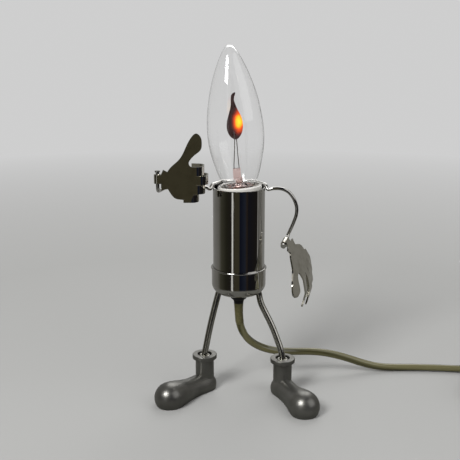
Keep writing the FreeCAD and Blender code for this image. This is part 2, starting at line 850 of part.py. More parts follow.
# Bulb cap: a thin brass sleeve rolled in at its foot
cap_inner = d.cap_radius - d.cap_wall
bulb_cap = turned(
    "bulb_cap",
    [
        (cap_inner, -d.cap_top + 1.2),
        (cap_inner, -(d.cap_depth - 1.5)),
        (d.contact_radius * 2, -(d.cap_depth - d.cap_wall)),
        (d.contact_radius * 2, -d.cap_depth),
        (d.cap_radius - 1.2, -d.cap_depth),
        (d.cap_radius, -(d.cap_depth - 1.6)),
        (d.cap_radius, -d.cap_top + 1.2),
    ],
)
keep("bulb_cap", bulb_cap)
lean(bulb_cap)

# Insulator and solder contact under the cap
bulb_insulator = turned(
    "bulb_insulator",
    [
        (0, -d.cap_depth),
        (0, -(d.cap_depth + d.insulator_height)),
        (d.contact_radius + 0.6, -(d.cap_depth + d.insulator_height)),
        (d.contact_radius * 2 - 0.1, -(d.cap_depth + 0.4)),
        (d.contact_radius * 2 - 0.1, -(d.cap_depth - d.cap_wall - 0.1)),
        (0, -(d.cap_depth - d.cap_wall - 0.1)),
    ],
)
keep("bulb_insulator", bulb_insulator)
lean(bulb_insulator)
bulb_contact = turned(
    "bulb_contact",
    [
        (0, -(d.cap_depth + d.insulator_height)),
        (0, -contact_tip),
        (d.contact_radius, -(d.cap_depth + d.insulator_height), 3.2),
    ],
)
keep("bulb_contact", bulb_contact)
lean(bulb_contact)

# Glass stem: a flare fused to the neck, a tube, and the flat press that holds the wires
stem_flare_top = d.stem_foot + d.stem_flare_thick
bulb_stem = new_body("bulb_stem")
stem_profile = plane_sketch(bulb_stem, "XZ_Plane", "bulb_stem_profile")
outline(
    stem_profile,
    [
        (0, d.stem_foot),
        (d.stem_flare, d.stem_foot),
        (d.stem_flare, stem_flare_top),
        (d.stem_tube + d.stem_curve, stem_flare_top),
        (d.stem_tube, stem_flare_top + d.stem_curve, -d.stem_curve),
        (d.stem_tube, d.stem_height - 6),
        (0, d.stem_height - 6),
    ],
)
stem_turned = bulb_stem.newObject("PartDesign::Revolution", "bulb_stem_turned")
stem_turned.Profile = stem_profile
stem_turned.ReferenceAxis = (stem_profile, ["V_Axis"])
stem_turned.Angle = 360
doc.recompute()
press = plane_sketch(bulb_stem, "XZ_Plane", "stem_press")
outline(
    press,
    [
        (d.press_centre - d.press_width / 2, d.stem_height - 7),
        (d.press_centre + d.press_width / 2, d.stem_height - 7),
        (d.press_centre + d.press_width / 2, d.stem_height),
        (d.press_centre - d.press_width / 2, d.stem_height),
    ],
)
pad(bulb_stem, press, d.press_thick, True)
keep("bulb_stem", bulb_stem)
lean(bulb_stem)

# Stem disc: the brown disc that lies on the flare and closes the neck
disc_hole = d.stem_tube + d.stem_curve + d.seat_gap
disc_bottom = stem_flare_top + d.seat_gap
stem_disc = turned(
    "stem_disc",
    [
        (disc_hole, disc_bottom),
        (d.stem_disc_radius, disc_bottom),
        (d.stem_disc_radius, disc_bottom + d.stem_disc_thick),
        (disc_hole, disc_bottom + d.stem_disc_thick),
    ],
)
keep("stem_disc", stem_disc)
lean(stem_disc)

# Flame plates: two thin sheets cut to a flame, one before the other, each on its own wire
FLAME = [
    (-0.5, 31.4), (-3.4, 33.2), (-5.3, 37.6), (-5.0, 43.0), (-3.2, 48.4), (-1.9, 53.0),
    (-1.5, 57.4), (-0.1, 60.4), (1.4, 60.9), (0.8, 58.2), (0.9, 54.4), (2.5, 49.6), (4.4, 45.0),
    (5.0, 40.2), (3.8, 35.0), (1.5, 32.0),
]


def flame_plate(depth):
    line = Part.BSplineCurve()
    line.interpolate([Vector(x, depth, z) for x, z in FLAME], PeriodicFlag=True)
    sheet_face = Part.Face(Part.Wire([line.toShape()]))
    return sheet_face.extrude(Vector(0, d.flame_thick.value, 0))


front_depth = -(d.flame_gap / 2 + d.flame_thick).value
rear_depth = (d.flame_gap / 2).value
leaning_piece("flame_plate_front", flame_plate(front_depth))
leaning_piece("flame_plate_rear", flame_plate(rear_depth))
wire_away = d.flame_wire_radius.value + 0.05
flame_wires = []
for foot_x, top_x, depth in (
    (d.press_centre.value - 1.6, -1.0, front_depth - wire_away),
    (d.press_centre.value + 1.6, 0.2, rear_depth + d.flame_thick.value + wire_away),
):
    foot = Vector(foot_x, 0, d.stem_height.value + 0.02)
    knee = Vector(foot_x, 0, d.stem_height.value + 1.8)
    high = Vector(top_x, depth, FLAME[0][1] - 2.0)
    end = Vector(top_x + 0.05, depth, FLAME[0][1] + 5.0)
    path = rounded_path([foot, knee, high, end])[0]
    flame_wires.append(round_tube(path, d.flame_wire_radius.value))
leaning_piece("flame_wires", Part.makeCompound(flame_wires))

# Arm yoke: one wire that lies on the rim behind the lampholder, drops over the edge at each
# side and goes on as the arms. Each end is the pin of a wrist and has a swaged head.
# Bends and pins are given outward from the tube's side, along Y and up from the rim.
rim = d.tube_top.value


def beside(side, out, y, up):
    return Vector(side * (d.tube_radius.value + out), y, rim + up)


HAND_FRAMES = {
    "left": {
        "pin": beside(-1, 34.6, -14.0, 7.0),
        "along": Vector(1, 0, 0),
        "thumb": Vector(0, 0, 1),
        "side": -1,
        "bends": ((3.5, 90.0, 5.5), (3.5, 80.0, 4.5)),
    },
    "right": {
        "pin": beside(1, 13.9, -0.3, -36.5),
        "along": Vector(0.50, 0.12, -0.857),
        "thumb": Vector(-0.328, -0.890, -0.316),
        "side": 1,
        "bends": ((8.0, 21.0, 8.0), (8.0, 21.0, 10.5)),
    },
}
yoke_radius = (d.tube_radius - d.tube_wall / 2).value
yoke_height = rim + d.wire_radius.value + d.wire_seat.value
pin_low, pin_high = -4.6, 5.4
LEFT_ARM = [
    (1.6, 1.2, -2.0), (3.9, 1.0, -0.4), (8.6, 1.6, 1.0), (14.3, 3.0, 1.7), (21.0, 3.4, 2.4),
    (27.0, 2.4, 1.3), (31.4, -1.8, -0.3), (33.9, -7.4, -0.9), (34.6, -12.0, -0.2),
]
RIGHT_ARM = [
    (1.6, 1.2, -2.1), (4.4, 0.4, -1.1), (8.0, 0.1, -0.8), (11.8, 0.0, -1.3), (15.7, 0.0, -3.4),
    (18.9, 0.1, -7.6), (21.0, 0.3, -13.3), (20.8, 0.7, -18.8), (18.6, 1.6, -25.4),
    (16.5, 3.5, -31.0), (15.7, 5.0, -33.3),
]
OVER_RIM = (0.6, 3.4)


def yoke_route():
    left, right = HAND_FRAMES["left"], HAND_FRAMES["right"]
    angles = [155, 130, 105, 80, 55, 30]
    ring = [
        (
            yoke_radius * math.cos(math.radians(angle)),
            yoke_radius * math.sin(math.radians(angle)),
            yoke_height,
        )
        for angle in angles
    ]
    left_arm = [beside(-1, *bend) for bend in LEFT_ARM]
    right_arm = [beside(1, *bend) for bend in RIGHT_ARM]
    left_pin = [left["pin"] + left["thumb"] * step for step in (pin_low, pin_high)]
    right_pin = [right["pin"] + right["thumb"] * step for step in (pin_low, pin_high)]
    over_left, over_right = [
        beside(side, *OVER_RIM, yoke_height - rim - 0.3) for side in (-1, 1)
    ]
    return [
        left_pin[1], left_pin[0], *reversed(left_arm), over_left,
        *ring, over_right, *right_arm, right_pin[0], right_pin[1],
    ]


yoke = round_tube(rounded_path(yoke_route())[0], d.wire_radius.value)
for hand in HAND_FRAMES.values():
    head = Part.makeCylinder(
        d.wire_head_radius.value, d.wire_head_thick.value,
        hand["pin"] + hand["thumb"] * (pin_high - 0.05), hand["thumb"],
    )
    yoke = fused(yoke, head)
solid_piece("arm_yoke", yoke)

# Hands: each is cut from sheet in one piece, with four folded fingers and a rolled knuckle.
# The outline is seen on the back of the hand, x from the wrist to the fingers, y to the thumb.
UPPER_EDGE = [
    (4.3, 5.7), (7.1, 9.3), (11.7, 13.5), (15.4, 19.9), (19.6, 27.6), (22.6, 29.9), (25.4, 27.6),
    (26.1, 24.0), (25.4, 19.8), (22.2, 16.9), (18.9, 13.6), (17.8, 11.3), (18.3, 9.7), (20.0, 8.9),
]
LOWER_EDGE = [(18.6, -14.0), (14.6, -12.2), (8.8, -11.0), (5.9, -7.6), (4.5, -5.2)]
FINGER_SIDE = [(22.0, 5.6), (22.8, 1.0), (22.4, -3.2), (20.6, -8.8)]
CUFF = [(2.1, -5.5), (0.2, -6.1), (0.2, 3.8), (1.6, 7.1)]
FINGERS = [(3.3, 8.8, 22.7), (-2.6, 2.9, 25.2), (-8.6, -3.0, 23.2), (-14.0, -9.2, 19.2)]


def spline(points):
    line = Part.BSplineCurve()
    line.interpolate([Vector(x, y, 0) for x, y in points])
    return line.toShape()


def finger_face(start, bends, thick):
    """The side view of one finger: straight from the palm, then folds and straights by turns."""
    inner = [Vector(start - 5, 0, thick)]
    outer = [Vector(start - 5, 0, 0)]
    edges_in, edges_out = [], []
    place = Vector(start, 0, 0)
    heading = 0.0
    inner_now, outer_now = inner[0], outer[0]

    def at(point, angle, offset):
        return point + Vector(-math.sin(angle), 0, math.cos(angle)) * offset

    edges_out.append(Part.LineSegment(outer_now, place).toShape())
    edges_in.append(Part.LineSegment(inner_now, at(place, 0, thick)).toShape())
    for inner_radius, turn, straight in bends:
        radius = inner_radius + thick
        centre = at(place, heading, radius)
        half_turn = heading + math.radians(turn) / 2
        full_turn = heading + math.radians(turn)
        edges_out.append(
            Part.Arc(
                at(centre, heading, -radius), at(centre, half_turn, -radius),
                at(centre, full_turn, -radius),
            ).toShape()
        )
        edges_in.append(
            Part.Arc(
                at(centre, heading, -inner_radius), at(centre, half_turn, -inner_radius),
                at(centre, full_turn, -inner_radius),
            ).toShape()
        )
        place = at(centre, full_turn, -radius)
        heading = full_turn
        ahead = place + Vector(math.cos(heading), 0, math.sin(heading)) * straight
        edges_out.append(Part.LineSegment(place, ahead).toShape())
        edges_in.append(
            Part.LineSegment(at(place, heading, thick), at(ahead, heading, thick)).toShape()
        )
        place = ahead
    tip = Part.LineSegment(place, at(place, heading, thick)).toShape()
    root = Part.LineSegment(inner_now, outer_now).toShape()
    edges = edges_out + [tip] + list(reversed(edges_in)) + [root]
    return Part.Face(Part.Wire(Part.__sortEdges__(edges)))


def hand_blank(bends, side):
    """A hand lying on its back, its fingers folding up, knuckle pin along y at x = 0.

    Its thumb points to +y where side is 1 and to -y where side is -1.
    """
    thick = d.hand_thick.value
    upper_edge, lower_edge, finger_side, cuff = [
        [(x, y * side) for x, y in line] for line in (UPPER_EDGE, LOWER_EDGE, FINGER_SIDE, CUFF)
    ]
    upper, lower = spline(upper_edge), spline(lower_edge)
    corners = [upper_edge[-1], *finger_side, lower_edge[0]]
    closing = [lower_edge[-1], *cuff, upper_edge[0]]
    sides = [
        Part.LineSegment(Vector(*a, 0), Vector(*b, 0)).toShape()
        for line in (corners, closing)
        for a, b in zip(line, line[1:])
    ]
    rim_wire = Part.Wire(Part.__sortEdges__([upper, lower, *sides]))
    hand = Part.Face(rim_wire).extrude(Vector(0, 0, thick))
    for low, high, start in FINGERS:
        finger = finger_face(start, bends, thick)
        finger = finger.extrude(Vector(0, high - low, 0))
        finger.translate(Vector(0, low if side > 0 else -high, 0))
        hand = hand.fuse(finger)
    width = d.knuckle_width.value
    bore = d.wire_radius.value + d.knuckle_play.value
    roll = bore + thick
    start_y = d.knuckle_offset.value * side - width / 2
    tab = Part.makeBox(
        d.knuckle_back.value + 1.5, width, thick, Vector(-d.knuckle_back.value, start_y, 0)
    )
    barrel = Part.makeCylinder(
        roll, width, Vector(-d.knuckle_back.value, start_y, roll), Vector(0, 1, 0)
    )
    pin_hole = Part.makeCylinder(
        bore, width + 2, Vector(-d.knuckle_back.value, start_y - 1, roll), Vector(0, 1, 0)
    )
    hand = hand.multiFuse([tab, barrel]).cut(pin_hole).removeSplitter()
    hand.translate(Vector(d.knuckle_back.value, 0, -roll))
    return hand


for name, frame in HAND_FRAMES.items():
    side = frame["side"]
    blank = hand_blank(frame["bends"], side)
    along, across = frame["along"].normalize(), frame["thumb"].normalize() * side
    across = (across - along * along.dot(across)).normalize()
    palm = along.cross(across)
    matrix = FreeCAD.Matrix(
        along.x, across.x, palm.x, frame["pin"].x,
        along.y, across.y, palm.y, frame["pin"].y,
        along.z, across.z, palm.z, frame["pin"].z,
    )
    solid_piece(f"hand_{name}", moved(blank, Placement(matrix)))

# Cord: twin flex from the grommet, held clear behind the right leg, down to the floor and along
# it to the coil. The bends are chosen by hand, from the tube's axis on the floor.
CORD_ROUTE = [
    (0.0, 0.0, 51.5), (1.2, 1.2, 41.5), (5.8, 4.4, 32.0), (14.5, 8.2, 24.4), (26.5, 11.8, 19.8),
    (40.0, 14.8, 18.4), (53.2, 17.0, 17.6), (65.4, 18.8, 15.2), (77.4, 20.3, 11.2),
    (88.6, 21.4, 6.8), (99.8, 22.4, 3.6), (112.4, 23.0, 2.75), (127.0, 23.1, 2.7),
    (142.4, 22.4, 2.7), (157.4, 21.0, 2.7), (171.0, 19.6, 2.7), (182.0, 18.9, 2.7),
]
COIL_CENTRE = (196.0, -24.0)
COIL_HALF_TURNS = 9


def coil_distances():
    """How far from the coil's middle each half turn ends: inwards, then out again."""
    half_pitch = d.coil_pitch.value / 2
    inner = d.coil_inner.value
    going_in = [
        inner + half_pitch * (d.coil_turn_step.value + step)
        for step in reversed(range(COIL_HALF_TURNS))
    ]
    last_out = COIL_HALF_TURNS - 1
    return [*going_in, inner, inner, *reversed(going_in[COIL_HALF_TURNS - last_out:])]


def coil_path():
    """Half turns about a line along Y through the coil's middle, clockwise seen from above."""
    centre_x, centre_y = COIL_CENTRE
    low = d.cord_radius.value + 0.1
    high = low + d.coil_pitch.value
    distances = coil_distances()
    ends = []
    for index, distance in enumerate(distances):
        side = 1 if index % 2 == 0 else -1
        height = low if index <= COIL_HALF_TURNS else high
        ends.append(Vector(centre_x, centre_y + side * distance, height))
    straight = d.cord_radius.value * 2
    edges = [Part.LineSegment(ends[0] - Vector(straight, 0, 0), ends[0]).toShape()]
    for index, (start, end) in enumerate(zip(ends, ends[1:])):
        side = 1 if index % 2 == 0 else -1
        radius = (end - start).Length / 2
        middle = (start + end) * 0.5 + Vector(side * radius, 0, 0)
        edges.append(Part.Arc(start, middle, end).toShape())
    out = ends[-1] + Vector(straight, 0, 0)
    edges.append(Part.LineSegment(ends[-1], out).toShape())
    return Part.Wire(edges), ends[0] - Vector(straight, 0, 0), out


coil_wire, coil_start, coil_end = coil_path()
cord_points = [Vector(0, 0, grommet_bottom.value), *[Vector(*p) for p in CORD_ROUTE], coil_start]
cord_wire, cord_length = rounded_path(cord_points, show="cord")
cord = round_tube(cord_wire, d.cord_radius.value)
section_area = math.pi * d.cord_radius.value**2
print(f"cord volume {cord.Volume:.0f} mm3, section times length {section_area * cord_length:.0f}")
solid_piece("cord", cord)
solid_piece("cord_coil", round_tube(coil_wire, d.cord_radius.value))


def least_gap(wire, thick):
    """The least clearance of a wire's turns to each other, measured on points 1 mm apart."""
    points = wire.discretize(Distance=1.0)
    away = int(3 * thick)
    least = 1e9
    for index, point in enumerate(points):
        for other in points[index + away:]:
            least = min(least, (point - other).Length)
    return least - thick


print(f"coil {coil_wire.Length:.0f} mm long, least gap {least_gap(coil_wire, 5.2):.2f} mm")

# Cord tail: from the coil's upper layer to the plug, which lies beside the coil
TAIL_ROUTE = [(9.0, 0.6, 0.0), (19.0, 2.6, -0.2), (29.0, 3.6, -0.5)]
tail_points = [coil_end, *[coil_end + Vector(*step) for step in TAIL_ROUTE]]
plug_face = tail_points[-1] + Vector(8.0, 0, 0)
tail_wire, tail_length = rounded_path([*tail_points, plug_face], show="cord tail")
solid_piece("cord_tail", round_tube(tail_wire, d.cord_radius.value))
whole_length = cord_length + coil_wire.Length + tail_length
print(f"whole cord {whole_length:.0f} mm")


def rounded_section(width, thick, rounding, x):
    """A rectangle with round corners across X, as a wire."""
    rounding = min(rounding, width / 2 - 0.05, thick / 2 - 0.05)
    wide, tall = width / 2, thick / 2
    corners = [
        Vector(x, -wide, -tall), Vector(x, wide, -tall), Vector(x, wide, tall), Vector(x, -wide, tall),
    ]
    edges = []
    for index, corner in enumerate(corners):
        before = corners[index - 1]
        after = corners[(index + 1) % 4]
        to_before = (before - corner).normalize()
        to_after = (after - corner).normalize()
        begin = corner + to_before * rounding
        finish = corner + to_after * rounding
        bulge = corner + (to_before + to_after) * rounding * (1 - math.sqrt(0.5))
        edges.append(Part.Arc(begin, bulge, finish).toShape())
        next_to_before = (corner - after).normalize()
        edges.append(Part.LineSegment(finish, after + next_to_before * rounding).toShape())
    return Part.Wire(edges)


# Plug: a moulded two-blade body with a tapered neck, resting on the floor beside the coil
neck = d.plug_neck_length.value
body_length = d.plug_length.value
width, thick, rounding = d.plug_width.value, d.plug_thick.value, d.plug_round.value
tip = d.plug_neck_tip.value * 2
sections = [
    rounded_section(tip, tip, tip / 2, 0),
    rounded_section(tip * 1.3, tip * 1.2, tip / 2, neck),
]
plug_neck = Part.makeLoft(sections, True, True)
plug_block = Part.makeLoft(
    [
        rounded_section(width * 0.62, thick * 0.8, rounding, neck),
        rounded_section(width, thick, rounding, neck + body_length * 0.4),
        rounded_section(width * 0.96, thick, rounding, neck + body_length),
    ],
    True,
)
solid_piece("plug_body", moved(fused(plug_neck, plug_block), Placement(plug_face, Rotation())))
blades = []
for side in (-1, 1):
    blade = Part.makeBox(
        d.blade_length.value, d.blade_thick.value, d.blade_width.value,
        Vector(0, -d.blade_thick.value / 2, -d.blade_width.value / 2),
    )
    hole = Part.makeCylinder(1.5, 4, Vector(d.blade_length.value - 4, -2, 0), Vector(0, 1, 0))
    blade = blade.cut(hole)
    blade.translate(
        plug_face + Vector(neck + body_length + 0.02, side * d.blade_spacing.value / 2, 0)
    )
    blades.append(blade)
solid_piece("plug_blades", Part.makeCompound(blades))

doc.recompute()
for thing in doc.Objects:
    if "Invalid" in thing.State or "Error" in thing.State:
        raise ValueError(f"{thing.Name} has failed: {thing.State}")
for node, piece in pieces.items():
    shape = piece.Shape
    if shape.isNull() or not shape.isValid() or shape.Volume <= 0:
        raise ValueError(f"{node} is not a sound solid")

os.makedirs("parts", exist_ok=True)
for node, piece in pieces.items():
    piece.Shape.exportStep(os.path.join("parts", f"{node}.step"))
print(f"{len(pieces)} pieces")
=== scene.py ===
import math

import bpy
import numpy as np
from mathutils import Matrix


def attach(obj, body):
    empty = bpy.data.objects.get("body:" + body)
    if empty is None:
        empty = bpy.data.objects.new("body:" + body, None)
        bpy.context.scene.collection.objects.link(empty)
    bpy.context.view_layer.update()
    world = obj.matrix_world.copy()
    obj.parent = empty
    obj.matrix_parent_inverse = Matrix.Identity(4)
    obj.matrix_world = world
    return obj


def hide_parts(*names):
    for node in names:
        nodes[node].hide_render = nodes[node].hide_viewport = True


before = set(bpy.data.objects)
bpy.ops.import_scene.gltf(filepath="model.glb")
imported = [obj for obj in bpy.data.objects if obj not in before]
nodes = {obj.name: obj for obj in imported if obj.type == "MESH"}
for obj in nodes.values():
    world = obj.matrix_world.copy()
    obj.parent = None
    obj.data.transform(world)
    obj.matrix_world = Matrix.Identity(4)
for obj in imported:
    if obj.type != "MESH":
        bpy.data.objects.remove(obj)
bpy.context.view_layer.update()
MM = 0.001

# Camera: it looks along +Y from a little above the bulb's tip, tilted down onto the lamp, with
# the angle of view at which the photograph takes the lamp and the floor's visible strip.
CAMERA_PLACE = (-4.0 * MM, -513.3 * MM, 243.0 * MM)
CAMERA_DOWN = 14.1
FOCAL_PIXELS = 829.0
IMAGE_PIXELS = 460.0
SENSOR = 36.0

camera = bpy.data.objects.new("camera", bpy.data.cameras.new("camera"))
bpy.context.scene.collection.objects.link(camera)
camera.location = CAMERA_PLACE
camera.rotation_euler = (math.radians(90.0 - CAMERA_DOWN), 0.0, 0.0)
camera.data.sensor_width = SENSOR
camera.data.lens = FOCAL_PIXELS / IMAGE_PIXELS * SENSOR
camera.data.clip_start = 0.02
bpy.context.scene.camera = camera


# Cord: twin flex, two cores side by side in clear golden plastic that has aged to olive. It hangs
# straight from the bush, swings back behind the right boot and lies on the floor to its coil.
# The route is in millimetres from the tube's axis, as in the solid cord.
CORD_RADIUS = 2.6 * MM
CORD_EXIT = (0.0, 0.0, 62.35)
CORD_ROUTE = [
    (0.0, 0.0, 51.5), (1.2, 1.2, 41.5), (5.8, 4.4, 32.0), (14.5, 8.2, 24.4), (26.5, 11.8, 19.8),
    (40.0, 14.8, 18.4), (53.2, 17.0, 17.6), (65.4, 18.8, 15.2), (77.4, 20.3, 11.2),
    (88.6, 21.4, 6.8), (99.8, 22.4, 3.6), (112.4, 23.0, 2.75), (127.0, 23.1, 2.7),
    (142.4, 22.4, 2.7), (157.4, 21.0, 2.7), (171.0, 19.6, 2.7), (182.0, 18.9, 2.7),
]
TUBE_AXIS = np.array((1.838, 16.169, 0.0))
COIL_CENTRE = (196.0, -24.0)
COIL_LOW = 2.7
COIL_HIGH = 8.4
COIL_STEP = 2.85
COIL_INNER = 15.6
COIL_HALF_TURNS = 9
COIL_START_TURNS = 1.5
POINTS_PER_HALF_TURN = 12
CORD_STRAIGHT = 5.2
TAIL_STEPS = [(9.0, 0.6, 0.0), (19.0, 2.6, -0.2), (29.0, 3.6, -0.5), (37.0, 3.6, -0.5)]
CURVE_STEPS = 6
POINT_SPACING = 1.6 * MM
TWIST_PITCH = 420.0 * MM
GROOVE_DEPTH = 0.16
GROOVE_SHARPNESS = 3
AROUND = 24
STEEP = 0.9
BLENDED_POINTS = 9


def surface(name, points, close_u=False, close_v=False, uv=None):
    """A mesh over a grid of points (rows, columns, 3), closed along either way where asked.

    The faces are quads whose corner numbers are worked out as whole arrays: row i and column j
    join rows i, i+1 and columns j, j+1, counted round where the grid is closed.
    """
    rows, columns = points.shape[:2]
    i = np.arange(rows if close_u else rows - 1)
    j = np.arange(columns if close_v else columns - 1)
    i, j = np.meshgrid(i, j, indexing="ij")
    next_i, next_j = (i + 1) % rows, (j + 1) % columns
    corners = np.stack(
        (i * columns + j, next_i * columns + j, next_i * columns + next_j, i * columns + next_j), -1
    ).reshape(-1, 4)
    mesh = bpy.data.meshes.new(name)
    mesh.vertices.add(rows * columns)
    mesh.vertices.foreach_set("co", points.reshape(-1).astype(np.float32))
    mesh.loops.add(corners.size)
    mesh.loops.foreach_set("vertex_index", corners.reshape(-1).astype(np.int32))
    mesh.polygons.add(len(corners))
    mesh.polygons.foreach_set("loop_start", np.arange(0, corners.size, 4, dtype=np.int32))
    mesh.polygons.foreach_set("use_smooth", np.ones(len(corners), dtype=bool))
    mesh.update(calc_edges=True)
    if uv is not None:
        layer = mesh.uv_layers.new(name="lay")
        layer.data.foreach_set("uv", uv.reshape(-1, 2)[corners.reshape(-1)].reshape(-1))
    mesh.validate()
    piece = bpy.data.objects.new(name, mesh)
    bpy.context.scene.collection.objects.link(piece)
    return piece


def carried_frames(line):
    """Two cross directions at each point of a line, square to its way and to each other.

    The first is level, but on steep stretches it is square to Y. The change from one to the
    other is spread over a few points, so that the section never turns at once.
    """
    way = np.gradient(line, axis=0)
    way /= np.linalg.norm(way, axis=1, keepdims=True)
    up = np.where(np.abs(way[:, 2:3]) > STEEP, (0.0, 1.0, 0.0), (0.0, 0.0, 1.0))
    up = np.pad(up, ((BLENDED_POINTS // 2,) * 2, (0, 0)), "edge")
    shares = np.ones(BLENDED_POINTS) / BLENDED_POINTS
    up = np.stack([np.convolve(column, shares, "valid") for column in up.T], 1)
    side = np.cross(way, up)
    side /= np.linalg.norm(side, axis=1, keepdims=True)
    return side, np.cross(side, way)


def swept(line, radius):
    """A tube's points round a line, with one radius per point or per point and angle."""
    side, up = carried_frames(line)
    return (
        line[:, None, :]
        + radius[..., None] * np.cos(angle)[None, :, None] * side[:, None, :]
        + radius[..., None] * np.sin(angle)[None, :, None] * up[:, None, :]
    )


distances = [
    COIL_INNER + COIL_STEP * (COIL_START_TURNS + step) for step in reversed(range(COIL_HALF_TURNS))
]
distances = [*distances, COIL_INNER, COIL_INNER, *reversed(distances[1:])]
coil_points = []
for number, (first, second) in enumerate(zip(distances, distances[1:])):
    side = 1 if number % 2 == 0 else -1
    radius = (first + second) / 2
    centre_y = COIL_CENTRE[1] + side * (first - second) / 2
    heights = [COIL_LOW if k <= COIL_HALF_TURNS else COIL_HIGH for k in (number, number + 1)]
    turn = (np.arange(POINTS_PER_HALF_TURN) + 0.5) * math.pi / POINTS_PER_HALF_TURN
    out = radius / math.cos(math.pi / POINTS_PER_HALF_TURN / 2)
    coil_points.append(np.stack((
        COIL_CENTRE[0] + side * out * np.sin(turn),
        centre_y + side * out * np.cos(turn),
        heights[0] + (heights[1] - heights[0]) * (1 - np.cos(turn)) / 2,
    ), 1))
coil_first = (COIL_CENTRE[0], COIL_CENTRE[1] + distances[0], COIL_LOW)
coil_last = (COIL_CENTRE[0], COIL_CENTRE[1] + distances[-1], COIL_HIGH)
lead_in = np.array(coil_first) - (CORD_STRAIGHT, 0, 0)
lead_out = np.array(coil_last) + (CORD_STRAIGHT, 0, 0)
tail = [lead_out + step for step in TAIL_STEPS]
route = np.vstack((CORD_EXIT, CORD_ROUTE, lead_in, *coil_points, lead_out, tail))
route = (route + TUBE_AXIS) * MM

route_curve = bpy.data.curves.new("cord_route", "CURVE")
route_curve.dimensions = "3D"
spline = route_curve.splines.new("NURBS")
spline.points.add(len(route) - 1)
spline.points.foreach_set("co", np.hstack((route, np.ones((len(route), 1)))).reshape(-1))
spline.order_u = 3
spline.use_endpoint_u = True
spline.resolution_u = CURVE_STEPS
route_object = bpy.data.objects.new("cord_route", route_curve)
route_mesh = bpy.data.meshes.new_from_object(route_object)
line = np.zeros(len(route_mesh.vertices) * 3)
route_mesh.vertices.foreach_get("co", line)
line = line.reshape(-1, 3)
bpy.data.meshes.remove(route_mesh)
bpy.data.objects.remove(route_object)

steps = np.concatenate(((0.0,), np.cumsum(np.linalg.norm(np.diff(line, axis=0), axis=1))))
cord_length = float(steps[-1])
even = np.linspace(0.0, cord_length, int(cord_length / POINT_SPACING))
line = np.stack([np.interp(even, steps, column) for column in line.T], 1)
angle = np.linspace(0, 2 * math.pi, AROUND, endpoint=False)
twist = angle[None, :] + 2 * math.pi * even[:, None] / TWIST_PITCH
lobe = 1 - GROOVE_DEPTH * (1 - np.abs(np.cos(twist))) ** GROOVE_SHARPNESS
flex_uv = np.stack(np.broadcast_arrays(np.cos(twist), even[:, None]), -1)
cord = surface("flex", swept(line, CORD_RADIUS * lobe), close_v=True, uv=flex_uv)
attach(cord, "stand")
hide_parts("cord", "cord_coil", "cord_tail")


def new_material(name, **constants):
    """A material, its node tree and its Principled shader, whose constants are given by name."""
    material = bpy.data.materials.new(name)
    material.use_nodes = True
    tree = material.node_tree
    shader = tree.nodes["Principled BSDF"]
    for socket, value in constants.items():
        shader.inputs[socket.replace("_", " ")].default_value = value
    return material, tree, shader


def add(tree, kind, **inputs):
    """A node whose inputs, by name or as _number, are set to values or joined to outputs."""
    node = tree.nodes.new(kind)
    for name, value in inputs.items():
        place = int(name[1:]) if name[0] == "_" else name.replace("_", " ")
        if isinstance(value, bpy.types.NodeSocket):
            tree.links.new(value, node.inputs[place])
        else:
            node.inputs[place].default_value = value
    return node


def ramp(tree, factor, stops):
    """A colour ramp with (position, colour) stops."""
    node = tree.nodes.new("ShaderNodeValToRGB")
    elements = node.color_ramp.elements
    while len(elements) < len(stops):
        elements.new(0.5)
    for element, (position, colour) in zip(elements, stops):
        element.position = position
        element.color = (*colour, 1.0)
    tree.links.new(factor, node.inputs["Fac"])
    return node.outputs["Color"]


def math_node(tree, operation, *values):
    """The result of a Math node of the given kind."""
    node = tree.nodes.new("ShaderNodeMath")
    node.operation = operation
    for number, value in enumerate(values):
        if isinstance(value, bpy.types.NodeSocket):
            tree.links.new(value, node.inputs[number])
        else:
            node.inputs[number].default_value = value
    return node.outputs[0]


def colour_mix(tree, factor, first, second):
    """A mix of two colours, each a value with its alpha or another node's output."""
    node = tree.nodes.new("ShaderNodeMix")
    node.data_type = "RGBA"
    tree.links.new(factor, node.inputs["Factor"])
    for name, colour in (("A", first), ("B", second)):
        if isinstance(colour, bpy.types.NodeSocket):
            tree.links.new(colour, node.inputs[name])
        else:
            node.inputs[name].default_value = colour
    return node.outputs["Result"]


def between(tree, value, low, high):
    """0 where a value is below low, 1 above high and an even slope between them."""
    return add(tree, "ShaderNodeMapRange", _0=value, _1=low, _2=high).outputs[0]


def object_place(tree):
    """The place on the piece, in metres of the shared frame."""
    return tree.nodes.new("ShaderNodeTexCoord").outputs["Object"]


def noise(tree, vector, scale, detail=2.0, roughness=0.5):
    """A cloudy noise from 0 to 1, mostly near 0.5."""
    node = add(
        tree, "ShaderNodeTexNoise", Vector=vector, Scale=scale, Detail=detail, Roughness=roughness
    )
    return node.outputs["Fac"]


def raise_surface(tree, shader, height, strength, distance):
    """Lets a height from 0 to 1 show as relief in the shading."""
    bump = add(tree, "ShaderNodeBump", Strength=strength, Distance=distance, Height=height)
    tree.links.new(bump.outputs["Normal"], shader.inputs["Normal"])


def dress(material, *names):
    """Puts a material on CAD nodes or on new pieces."""
    for name in names:
        thing = nodes[name] if name in nodes else bpy.data.objects[name]
        if not thing.data.materials:
            thing.data.materials.append(material)
        for place in thing.material_slots:
            place.material = material


